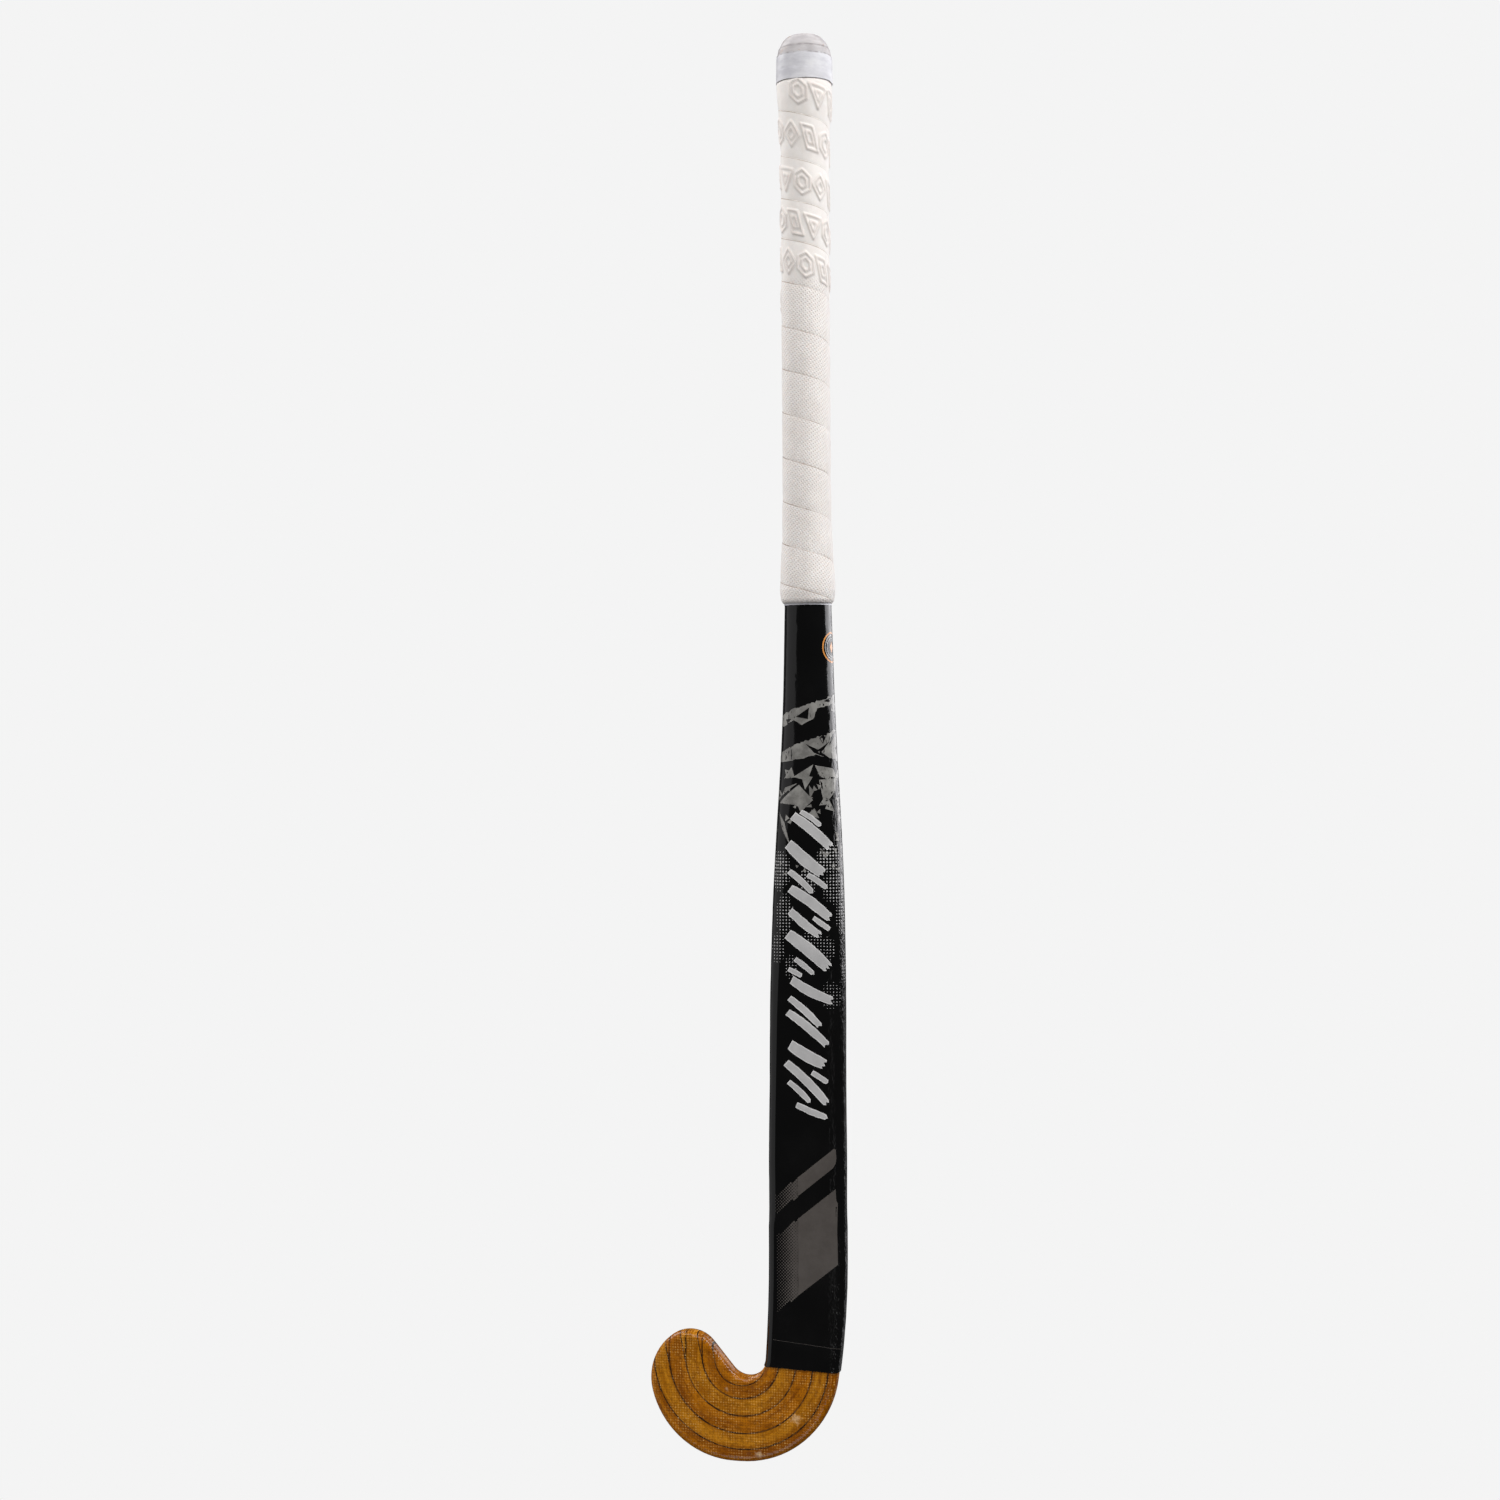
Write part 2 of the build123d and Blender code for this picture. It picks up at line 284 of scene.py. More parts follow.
def wood_material(name, deep, golden):
    """Varnished mulberry that bends round the head, under glass cloth."""
    material, tree, shader = new_material(name)
    where, parts = place(tree)
    radius, run = bend_coordinates(tree, parts)
    wobble = product(tree, calc(tree, "SUBTRACT", noise(tree, where, 60.0), 0.5), 0.0016)
    bent = calc(tree, "ADD", radius, wobble)
    grain_place = vector(tree, bent, parts[1], product(tree, run, 0.07))
    broad = noise(tree, grain_place, 260.0, 4.0, 0.6, 0.4)
    fibre = noise(tree, grain_place, 1500.0, 3.0, 0.7)
    cloudy = noise(tree, where, 75.0, 4.0, 0.6)
    tone = calc(tree, "MULTIPLY_ADD", fibre, 0.45, calc(tree, "MULTIPLY_ADD", cloudy, 0.5, broad))
    colour = ramp(tree, remap(tree, tone, 0.76, 1.20), [(0.0, deep), (1.0, golden)])

    glue_wander = noise(tree, where, 330.0, 3.0, 0.7)
    shift = product(tree, calc(tree, "SUBTRACT", glue_wander, 0.5), 0.0011)
    ragged_radius = calc(tree, "ADD", radius, shift)
    soak = None
    for ply_radius in PLY_RADII[:4]:
        gap = calc(tree, "ABSOLUTE", calc(tree, "SUBTRACT", ragged_radius, ply_radius * MM))
        line = remap(tree, gap, 0.00075, 0.00025)
        soak = line if soak is None else calc(tree, "MAXIMUM", soak, line)
    line_strength = remap(tree, noise(tree, where, 130.0, 2.0), 0.38, 0.6, 0.35, 0.95)
    colour = blend_colour(tree, product(tree, soak, line_strength), colour,
                          (0.022, 0.008, 0.002))

    speckle, crossing = weave_speckle(tree, parts, where)
    colour = blend_colour(tree, product(tree, speckle, 0.62), colour, (0.80, 0.48, 0.15))
    weave_shows = remap(tree, noise(tree, where, 60.0, 2.0), 0.42, 0.58, 0.25, 1.0)
    dots = product(tree, remap(tree, crossing, -0.30, -0.90), weave_shows)
    mottle = remap(tree, noise(tree, where, 420.0, 4.0, 0.75), 0.50, 0.60)
    stain = calc(tree, "MAXIMUM", product(tree, dots, 0.55), product(tree, mottle, 0.45))
    colour = blend_colour(tree, stain, colour, tuple(0.45 * part for part in deep))
    rubbed = scuffs(tree, where, [(-29.5, -678.5, 4.5), (-6.5, -655.5, 6.0), (-50.0, -640.0, 2.4)])
    colour = blend_colour(tree, product(tree, rubbed, 0.42), colour, (0.78, 0.60, 0.38))
    knot = scuffs(tree, where, [(-34.0, -637.5, 3.0), (-36.0, -678.0, 3.2)])
    colour = blend_colour(tree, product(tree, knot, 0.55), colour, (0.11, 0.035, 0.012))

    dull = calc(tree, "MULTIPLY_ADD", rubbed, 0.2, remap(tree, cloudy, 0.3, 0.7, 0.36, 0.5))
    set_shader(tree, shader, {"Base Color": colour, "Roughness": dull, "Specular IOR Level": 0.08,
                              "Coat Weight": 0.38, "Coat Roughness": 0.07})
    relief = calc(tree, "MULTIPLY_ADD", crossing, 0.25, product(tree, cloudy, 1.4))
    normal = add_bump(tree, shader, relief, 0.00016)
    tree.links.new(normal, shader.inputs["Coat Normal"])
    return material


def glue_material():
    """Cured dark resin between the plies."""
    material, tree, shader = new_material("dark_glue")
    where, parts = place(tree)
    patches = noise(tree, where, 240.0, 3.0, 0.7)
    colour = ramp(tree, remap(tree, patches, 0.40, 0.66),
                  [(0.0, (0.016, 0.006, 0.002)), (1.0, (0.16, 0.060, 0.008))])
    speckle, crossing = weave_speckle(tree, parts, where)
    colour = blend_colour(tree, product(tree, speckle, 0.5), colour, (0.86, 0.60, 0.34))
    set_shader(tree, shader, {"Base Color": colour, "Roughness": 0.42, "Specular IOR Level": 0.1,
                              "Coat Weight": 0.3, "Coat Roughness": 0.1})
    add_bump(tree, shader, crossing, 0.00004)
    return material


def film_material(name):
    """Glossy black film, slightly wavy, wrinkled where it turns the heel side."""
    material, tree, shader = new_material(name)
    where, parts = place(tree)
    stretched = vector(tree, parts[0], parts[1], product(tree, parts[2], 0.35))
    waves = noise(tree, stretched, 46.0, 2.0, 0.45)
    ripples = noise(tree, where, 260.0, 3.0, 0.6)
    heel_side = remap(tree, parts[0], 0.0110, 0.0175)
    low_down = remap(tree, parts[2], -0.16, -0.33, 0.55, 1.0)
    wrinkled = product(tree, heel_side, low_down)
    folds = remap(tree, noise(tree, stretched, 420.0, 3.0, 0.65), 0.35, 0.7)
    creases = product(tree, wrinkled, folds)
    relief = calc(tree, "MULTIPLY_ADD", ripples, 0.10, calc(tree, "MULTIPLY_ADD", creases, 0.60, waves))
    smears = remap(tree, noise(tree, where, 32.0, 4.0, 0.6), 0.35, 0.75, 0.10, 0.22)
    set_shader(tree, shader, {"Base Color": (0.0022, 0.0022, 0.0023, 1.0), "Roughness": smears,
                              "Specular IOR Level": 0.5, "Coat Weight": 0.7, "Coat Roughness": 0.04})
    normal = add_bump(tree, shader, relief, 0.00035)
    tree.links.new(normal, shader.inputs["Coat Normal"])
    return material


def print_material(name, dark, light, metallic, scale=140.0):
    """Ink under the film's gloss, a little uneven."""
    material, tree, shader = new_material(name)
    where = place(tree)[0]
    patches = noise(tree, where, scale, 4.0, 0.65)
    grains = noise(tree, where, 2200.0, 2.0, 0.6)
    tone = calc(tree, "MULTIPLY_ADD", grains, 0.25, patches)
    colour = ramp(tree, remap(tree, tone, 0.46, 0.80), [(0.0, dark), (1.0, light)])
    set_shader(tree, shader, {"Base Color": colour, "Metallic": metallic, "Roughness": 0.42,
                              "Coat Weight": 0.8, "Coat Roughness": 0.06})
    return material


def chamois_material():
    """Soft white chamois strip with fine perforations on its plain turns; shade is painted into the
    perforations, along each turn's upper edge and at the foot of the raised figures.
    """
    material, tree, shader = new_material("chamois_grip")
    where, parts = place(tree)
    # The strip's attribute holds the place along it, the depth below its upper edge and a painted shade
    # value for the foot of the raised figures.
    strip = tree.nodes.new("ShaderNodeAttribute")
    strip.attribute_name = "strip_place_and_ridge_shade"
    along = tree.nodes.new("ShaderNodeSeparateXYZ")
    tree.links.new(strip.outputs["Vector"], along.inputs[0])
    turns = math.pi / (PRICK_PITCH * MM)
    first = product(tree, along.outputs[0], turns)
    second = product(tree, along.outputs[1], turns)
    holes = product(tree, calc(tree, "SINE", first), calc(tree, "SINE", second))
    pricks = remap(tree, holes, 0.0, 0.8)
    plain_turns = remap(tree, parts[2], 0.034, 0.024)
    pricks = product(tree, pricks, plain_turns)
    cloudy = noise(tree, where, 120.0, 4.0, 0.6)
    nap = noise(tree, where, 2600.0, 3.0, 0.7)
    tone = calc(tree, "MULTIPLY_ADD", nap, 0.3, cloudy)
    colour = ramp(tree, remap(tree, tone, 0.5, 0.82),
                  [(0.0, (0.790, 0.755, 0.728)), (1.0, (0.835, 0.805, 0.778))])
    # Painted shade: a thin dark line along the strip's upper edge stands in for the shade in the groove
    # where the turns meet.
    groove_shade = remap(tree, along.outputs[1], 0.0009, 0.0003)
    uneven = remap(tree, noise(tree, where, 70.0, 2.0), 0.40, 0.60, 0.45, 0.85)
    colour = blend_colour(tree, product(tree, groove_shade, uneven), colour, (0.20, 0.14, 0.10))
    # Painted shade: the perforations are darkened as the shade inside the holes.
    colour = blend_colour(tree, product(tree, pricks, 0.38), colour, (0.56, 0.46, 0.44))
    # Painted shade: the chamois is darkened at the foot of each raised figure as the shade beside its
    # ridges.
    foot = product(tree, along.outputs[2], 0.30)
    colour = blend_colour(tree, foot, colour, (0.44, 0.33, 0.28))
    set_shader(tree, shader, {"Base Color": colour, "Roughness": 0.86, "Specular IOR Level": 0.25,
                              "Sheen Weight": 0.12, "Subsurface Weight": 0.08,
                              "Subsurface Radius": (0.0012, 0.0009, 0.0007)})
    relief = calc(tree, "MULTIPLY_ADD", nap, 0.35, product(tree, pricks, -0.9))
    add_bump(tree, shader, calc(tree, "MULTIPLY_ADD", cloudy, 0.35, relief), 0.00016)
    return material


def tape_material(name, dull, bright, edge_z, dirt):
    """Glossy white tape with a cool cast, lighter towards the right as painted light, with a thin dark
    line of painted shade along the edge at edge_z and brown dirt patches.
    """
    material, tree, shader = new_material(name)
    where, parts = place(tree)
    stretched = vector(tree, parts[0], parts[1], product(tree, parts[2], 2.2))
    folds = noise(tree, stretched, 90.0, 3.0, 0.55)
    fine = noise(tree, where, 900.0, 2.0)
    # Painted light: the tape is made lighter towards its right side, where the light falls.
    right_side_light = remap(tree, parts[0], -0.006, 0.012, 0.0, 0.35)
    colour = ramp(tree, calc(tree, "ADD", remap(tree, folds, 0.36, 0.66, 0.0, 0.65), right_side_light),
                  [(0.0, dull), (1.0, bright)])
    # Painted shade: a broken dark grey line along the edge at edge_z stands in for the shade under the
    # tape's edge.
    below_edge = calc(tree, "SUBTRACT", edge_z, parts[2])
    wander = calc(tree, "MULTIPLY_ADD", noise(tree, where, 60.0, 3.0), 0.0016, -0.0008)
    edge = remap(tree, calc(tree, "ABSOLUTE", calc(tree, "ADD", below_edge, wander)), 0.0010, 0.0002)
    broken = remap(tree, noise(tree, where, 140.0, 3.0, 0.7), 0.38, 0.58, 0.2, 0.8)
    colour = blend_colour(tree, product(tree, edge, broken), colour, (0.22, 0.20, 0.20))
    soil = remap(tree, noise(tree, where, 170.0, 4.0, 0.7), 0.56, 0.72, 0.0, dirt)
    colour = blend_colour(tree, soil, colour, (0.36, 0.22, 0.12))
    set_shader(tree, shader, {"Base Color": colour, "Roughness": 0.5, "Specular IOR Level": 0.25,
                              "Coat Weight": 0.1, "Coat Roughness": 0.2, "Subsurface Weight": 0.1,
                              "Subsurface Radius": (0.001, 0.001, 0.0012)})
    normal = add_bump(tree, shader, calc(tree, "MULTIPLY_ADD", fine, 0.12, folds), 0.00025)
    tree.links.new(normal, shader.inputs["Coat Normal"])
    return material


def plain_wood_material():
    """Planed handle wood with straight grain up the stick."""
    material, tree, shader = new_material("handle_wood")
    where, parts = place(tree)
    stretched = vector(tree, parts[0], parts[1], product(tree, parts[2], 0.05))
    grain = noise(tree, stretched, 520.0, 5.0, 0.6, 0.3)
    colour = ramp(tree, remap(tree, grain, 0.35, 0.68),
                  [(0.0, (0.33, 0.19, 0.085)), (1.0, (0.60, 0.42, 0.22))])
    set_shader(tree, shader, {"Base Color": colour, "Roughness": 0.62})
    add_bump(tree, shader, grain, 0.0001)
    return material


def rubber_material():
    """Matt black damping rubber."""
    material, tree, shader = new_material("damper_rubber")
    where = place(tree)[0]
    grain = noise(tree, where, 900.0, 3.0)
    colour = ramp(tree, grain, [(0.3, (0.016, 0.016, 0.017)), (0.7, (0.034, 0.034, 0.036))])
    set_shader(tree, shader, {"Base Color": colour, "Roughness": 0.82})
    add_bump(tree, shader, grain, 0.00008)
    return material


def glass_material():
    """Resin-soaked woven glass cloth."""
    material, tree, shader = new_material("glass_cloth")
    where, parts = place(tree)
    crossing = weave_speckle(tree, parts, where)[1]
    colour = ramp(tree, remap(tree, crossing, -0.8, 0.8),
                  [(0.0, (0.52, 0.51, 0.45)), (1.0, (0.74, 0.73, 0.67))])
    set_shader(tree, shader, {"Base Color": colour, "Roughness": 0.38})
    add_bump(tree, shader, crossing, 0.00006)
    return material


def dress(names, material):
    """Gives CAD nodes a material and smooth shading."""
    for name in names:
        node = nodes[name]
        node.data.materials.clear()
        node.data.materials.append(material)
        for polygon in node.data.polygons:
            polygon.use_smooth = True


# ---- Measuring the frame's skins -----------------------------------------------------
def measure_skin(name, low, high, angle_count):
    """Outside radius of a CAD node round the stick's axis: heights, angles and rows of radii.

    Angles run from the back over the left, the front (0) and the right to the back.
    """
    mesh = nodes[name].data
    tree = BVHTree.FromPolygons([v.co for v in mesh.vertices], [p.vertices for p in mesh.polygons])
    rows = int(round((high - low) / SKIN_ROW_STEP)) + 1
    heights = np.linspace(low, high, rows)
    angles = np.linspace(-math.pi, math.pi, angle_count + 1)
    radii = np.zeros((rows, angle_count + 1))
    for row, height in enumerate(heights):
        for column, angle in enumerate(angles):
            outward = Vector((math.sin(angle), -math.cos(angle), 0.0))
            start = outward * 0.08 + Vector((0.0, 0.0, height * MM))
            hit = tree.ray_cast(start, -outward)[0]
            radii[row, column] = math.hypot(hit.x, hit.y) / MM if hit else radii[row, column - 1]
    return heights, angles, radii


def mix_grid(grid, row, column):
    """A grid's values at places between its rows and columns."""
    r = np.clip(row.astype(int), 0, grid.shape[0] - 2)
    c = np.clip(column.astype(int), 0, grid.shape[1] - 2)
    rf, cf = row - r, column - c
    if grid.ndim == 3:
        rf, cf = rf[:, None], cf[:, None]
    low = grid[r, c] * (1 - cf) + grid[r, c + 1] * cf
    high = grid[r + 1, c] * (1 - cf) + grid[r + 1, c + 1] * cf
    return low * (1 - rf) + high * rf


def row_at(heights, z):
    """Place of a height among evenly spaced ones, kept inside them."""
    step = heights[1] - heights[0]
    return np.clip((z - heights[0]) / step, 0, len(heights) - 1.001)


class FilmSurface:
    """Turns print coordinates (u round the shaft, z up) into points on the film."""

    def __init__(self, low, high):
        self.heights, angles, radii = measure_skin("film_sleeve", low, high, FILM_COLUMNS)
        self.across = np.arange(-FILM_REACH, FILM_REACH + FILM_STEP, FILM_STEP)
        self.points = np.zeros((len(self.heights), len(self.across), 3))
        for row, height in enumerate(self.heights):
            x = radii[row] * np.sin(angles)
            y = -radii[row] * np.cos(angles)
            run = np.concatenate([[0.0], np.cumsum(np.hypot(np.diff(x), np.diff(y)))])
            run -= run[len(run) // 2]
            self.points[row, :, 0] = np.interp(self.across, run, x)
            self.points[row, :, 1] = np.interp(self.across, run, y)
            self.points[row, :, 2] = height
        along = np.gradient(self.points, axis=1)
        up = np.gradient(self.points, axis=0)
        normals = np.cross(along, up)
        lengths = np.linalg.norm(normals, axis=2, keepdims=True)
        self.normals = normals / np.maximum(lengths, 1e-9)

    def at(self, places, lift):
        """Points in metres for an (n, 2) array of places, lifted off the film by lift."""
        row, column = row_at(self.heights, places[:, 1]), row_at(self.across, places[:, 0])
        points = mix_grid(self.points, row, column)
        points[:, 2] = places[:, 1]
        return (points + mix_grid(self.normals, row, column) * lift) * MM


# ---- Prints --------------------------------------------------------------------------
def inside(point, outline):
    """True when a point is inside an outline."""
    x, y = point
    result = False
    for (x1, y1), (x2, y2) in zip(outline, outline[1:] + outline[:1]):
        if (y1 > y) != (y2 > y) and x < (x2 - x1) * (y - y1) / (y2 - y1) + x1:
            result = not result
    return result


def fill_outline(outline, step=2.0):
    """Triangles that fill an outline finely enough to bend round the shaft."""
    border = []
    for start, end in zip(outline, outline[1:] + outline[:1]):
        count = max(1, math.ceil(math.dist(start, end) / step))
        for i in range(count):
            share = i / count
            border.append((start[0] + (end[0] - start[0]) * share,
                           start[1] + (end[1] - start[1]) * share))
    points = [Vector(p) for p in border]
    lows = np.min(border, axis=0)
    highs = np.max(border, axis=0)
    for x in np.arange(lows[0] + step / 2, highs[0], step):
        for y in np.arange(lows[1] + step / 2, highs[1], step):
            clear = min((x - px) ** 2 + (y - py) ** 2 for px, py in border) > (0.45 * step) ** 2
            if clear and inside((x, y), border):
                points.append(Vector((x, y)))
    mesh = delaunay_2d_cdt(points, [], [list(range(len(border)))], 1, 1e-5)
    return np.array([tuple(p) for p in mesh[0]]), [tuple(f) for f in mesh[2]]


def wind_up(places, triangle):
    """The triangle's corners, turned so that its area is positive."""
    a, b, c = (places[i] for i in triangle)
    area = (b[0] - a[0]) * (c[1] - a[1]) - (c[0] - a[0]) * (b[1] - a[1])
    return triangle if area > 0 else triangle[::-1]


def make_print(surface, name, pieces, material, lift):
    """Thin closed pieces of ink on the film surface. pieces are (places, triangles)."""
    points, faces = [], []
    for places, triangles in pieces:
        base = len(points)
        count = len(places)
        points.extend(surface.at(places, lift))
        points.extend(surface.at(places, lift - PRINT_THICKNESS))
        triangles = [wind_up(places, t) for t in triangles]
        directed = {(t[i], t[(i + 1) % 3]) for t in triangles for i in range(3)}
        for a, b, c in triangles:
            faces.append((base + a, base + b, base + c))
            faces.append((base + count + c, base + count + b, base + count + a))
        for a, b in directed:
            if (b, a) not in directed:
                faces.append((base + b, base + a, base + count + a, base + count + b))
    mesh = bpy.data.meshes.new(name)
    mesh.from_pydata([tuple(p) for p in points], [], faces)
    mesh.update()
    piece = add_object(name, mesh)
    mesh.materials.append(material)
    mesh.shade_smooth()
    mesh.set_sharp_from_angle(angle=math.radians(40))
    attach(piece, "root")


def torn(start, end, depth, step, rng):
    """Points from start up to, not including, end, with a ragged line between."""
    length = math.dist(start, end)
    along = ((end[0] - start[0]) / length, (end[1] - start[1]) / length)
    side = (-along[1], along[0])
    points, walked = [start], rng.uniform(0.4, 1.0) * step
    while walked < length - step * 0.4:
        push = rng.uniform(-depth, depth)
        points.append((start[0] + along[0] * walked + side[0] * push,
                       start[1] + along[1] * walked + side[1] * push))
        walked += rng.uniform(0.4, 1.4) * step
    return points


def torn_outline(corners, depths, step, rng):
    """An outline whose sides are ragged by depths, one for each side."""
    points = []
    for start, end, depth in zip(corners, corners[1:] + corners[:1], depths):
        points += torn(start, end, depth, step, rng) if depth else [start]
    return points


def dot(centre, radius, sides=6):
    """A small filled dot."""
    places = [centre]
    for i in range(sides):
        angle = 2 * math.pi * (i + 0.5) / sides
        places.append((centre[0] + radius * math.cos(angle), centre[1] + radius * math.sin(angle)))
    return np.array(places), [(0, 1 + i, 1 + (i + 1) % sides) for i in range(sides)]


def ring(centre, outer, inner, sides=56):
    """A filled ring."""
    places = []
    for i in range(sides):
        angle = 2 * math.pi * i / sides
        for radius in (inner, outer):
            places.append((centre[0] + radius * math.cos(angle),
                           centre[1] + radius * math.sin(angle)))
    triangles = []
    for i in range(sides):
        a, b = 2 * i, 2 * ((i + 1) % sides)
        triangles += [(a, a + 1, b + 1), (a, b + 1, b)]
    return np.array(places), triangles


def jagged_bands(rng):
    """Two torn diagonal bands that run round the upper shaft."""
    first = torn_outline(
        [(-24.0, -234.1), (-17.0, -231.1), (4.0, -224.2), (28.0, -216.7), (38.0, -213.3),
         (37.0, -219.7), (25.0, -223.7), (22.5, -229.2), (18.0, -228.2), (19.5, -224.2),
         (8.0, -227.2), (6.0, -233.1), (-1.5, -237.1), (-6.5, -234.1), (-15.0, -238.1)],
        [0.5, 0.7, 0.7, 0.7, 0.3, 0.4, 0.5, 0.3, 0.3, 0.4, 0.4, 0.3, 0.4, 0.4, 0.3], 1.8, rng)
    second = torn_outline(
        [(-26.0, -258.5), (-15.5, -253.0), (0.0, -247.0), (27.0, -238.1), (38.0, -234.1),
         (37.0, -246.0), (27.0, -259.4), (17.0, -257.0), (8.0, -255.0), (-3.0, -257.5),
         (-15.5, -259.4)],
        [0.5, 0.6, 0.7, 0.7, 0.4, 0.5, 0.6, 0.5, 0.5, 0.4, 0.4], 1.8, rng)
    return [first, second]


def band_cuts():
    """Sharp dark slivers cut out of the bands."""
    return [
        [(-5.0, -232.1), (3.2, -226.7), (2.4, -233.6)],
        [(-12.5, -233.6), (-8.0, -233.3), (-11.0, -236.6)],
        [(12.0, -222.8), (20.0, -219.4), (16.5, -223.4)],
        [(9.0, -244.6), (14.5, -242.1), (11.5, -248.5)],
        [(1.0, -248.5), (8.5, -252.0), (16.0, -247.0), (10.5, -253.5), (18.0, -258.5), (6.0, -253.8)],
        [(18.5, -243.1), (25.0, -240.4), (15.5, -249.5)],
        [(22.0, -250.5), (29.0, -247.5), (24.5, -255.0)],
        [(-22.0, -256.4), (-17.5, -254.6), (-19.0, -258.0)],
    ]


def large_shards():
    """The bigger pieces of the broken pattern below the bands."""
    return [
        [(-17.5, -284.2), (-3.6, -273.0), (5.2, -282.3), (-2.6, -289.7), (-4.5, -285.3)],
        [(9.0, -270.1), (21.5, -269.3), (20.0, -276.8), (12.0, -285.2)],
        [(-13.5, -269.4), (-8.0, -262.4), (-6.0, -268.7)],
        [(-7.0, -268.4), (5.5, -260.9), (1.5, -271.9), (-1.0, -269.9)],
        [(6.5, -261.4), (18.5, -263.4), (22.5, -268.9), (9.5, -267.9)],
        [(-15.0, -279.8), (-12.5, -274.8), (-4.5, -272.2)],
        [(24.0, -262.9), (33.0, -259.4), (30.5, -268.4)],
        [(25.5, -271.9), (33.5, -270.9), (27.5, -280.8)],
        [(1.0, -291.7), (6.0, -287.3), (9.0, -293.2)],
        [(-17.5, -289.7), (-13.0, -295.7), (-9.0, -310.1), (-14.5, -299.7)],
        [(5.0, -297.2), (9.0, -302.6), (2.0, -301.2)],
    ]


def small_shards(rng):
    """Scattered slivers that thin out down the shaft."""
    shards = []
    for _ in range(88):
        share = rng.random() ** 1.2
        centre = (rng.uniform(-24.0, 40.0), -262.0 - 66.0 * share)
        if -8.0 < centre[0] < 12.0 and centre[1] < -291.0 and rng.random() < 0.7:
            continue
        size = rng.uniform(1.2, 4.2) * (1.15 - 0.6 * share)
        turn = rng.uniform(0, 2 * math.pi)
        corners = []
        for corner in range(3):
            angle = turn + corner * 2.1 + rng.uniform(-0.5, 0.5)
            reach = size * rng.uniform(0.5, 1.3)
            corners.append((centre[0] + reach * math.cos(angle), centre[1] + reach * math.sin(angle)))
        shards.append(corners)
    return shards


def halftone_field(rng):
    """A square grid of dots that swells and fades in patches."""
    # Each patch is (u, z, reach across, reach up).
    patches = [(-16.0, -325.0, 9.0, 16.0), (-13.0, -352.0, 7.0, 17.0), (-17.0, -372.0, 6.0, 13.0),
               (-9.0, -383.0, 6.0, 10.0), (15.0, -318.0, 10.0, 12.0), (19.0, -335.0, 11.0, 13.0),
               (25.0, -352.0, 8.0, 16.0), (13.0, -372.0, 8.0, 10.0), (27.0, -384.0, 6.0, 14.0),
               (16.0, -400.0, 10.0, 12.0), (2.0, -331.0, 8.0, 10.0), (5.0, -366.0, 8.0, 8.0)]
    dots = []
    for column in range(-12, 19):
        for row in range(56):
            u = column * HALFTONE_PITCH
            z = HALFTONE_TOP - row * HALFTONE_PITCH
            swell = 0.0
            for centre_u, centre_z, wide, tall in patches:
                reach = math.hypot((u - centre_u) / wide, (z - centre_z) / tall)
                swell = max(swell, 1.0 - reach)
            fading = 1.0 + (z - HALFTONE_TOP) / 190.0
            radius = min(0.66, 1.5 * swell) * rng.uniform(0.72, 1.0) * fading
            if radius > 0.20:
                dots.append(dot((u, z), radius))
    return dots


def brush_stroke(start, end, width, bend, rng, grow=0.0):
    """The outline of one painted stroke: blunt where it starts, frayed where it ends."""
    length = math.dist(start, end)
    ahead = ((end[0] - start[0]) / length, (end[1] - start[1]) / length)
    side = (-ahead[1], ahead[0])
    steps = max(6, int(length / 2.2))
    left, right = [], []
    for step in range(steps + 1):
        share = step / steps
        swell = (0.62 + 0.38 * math.sin(math.pi * (0.15 + 0.7 * share))) * width / 2 + grow
        sway = bend * math.sin(math.pi * share)
        walked = -grow + share * (length + 2 * grow)
        for edge, direction in ((left, 1), (right, -1)):
            off = sway + direction * (swell + rng.uniform(-0.16, 0.16))
            edge.append((start[0] + ahead[0] * walked + side[0] * off,
                         start[1] + ahead[1] * walked + side[1] * off))
    teeth = []
    count = max(2, int(width / 1.1))
    for tooth in range(1, count):
        share = tooth / count
        push = rng.uniform(0.3, 1.9) if tooth % 2 else rng.uniform(-1.2, -0.2)
        corner = [left[-1][i] + (right[-1][i] - left[-1][i]) * share + ahead[i] * push for i in (0, 1)]
        teeth.append(tuple(corner))
    return left + teeth + right[::-1]


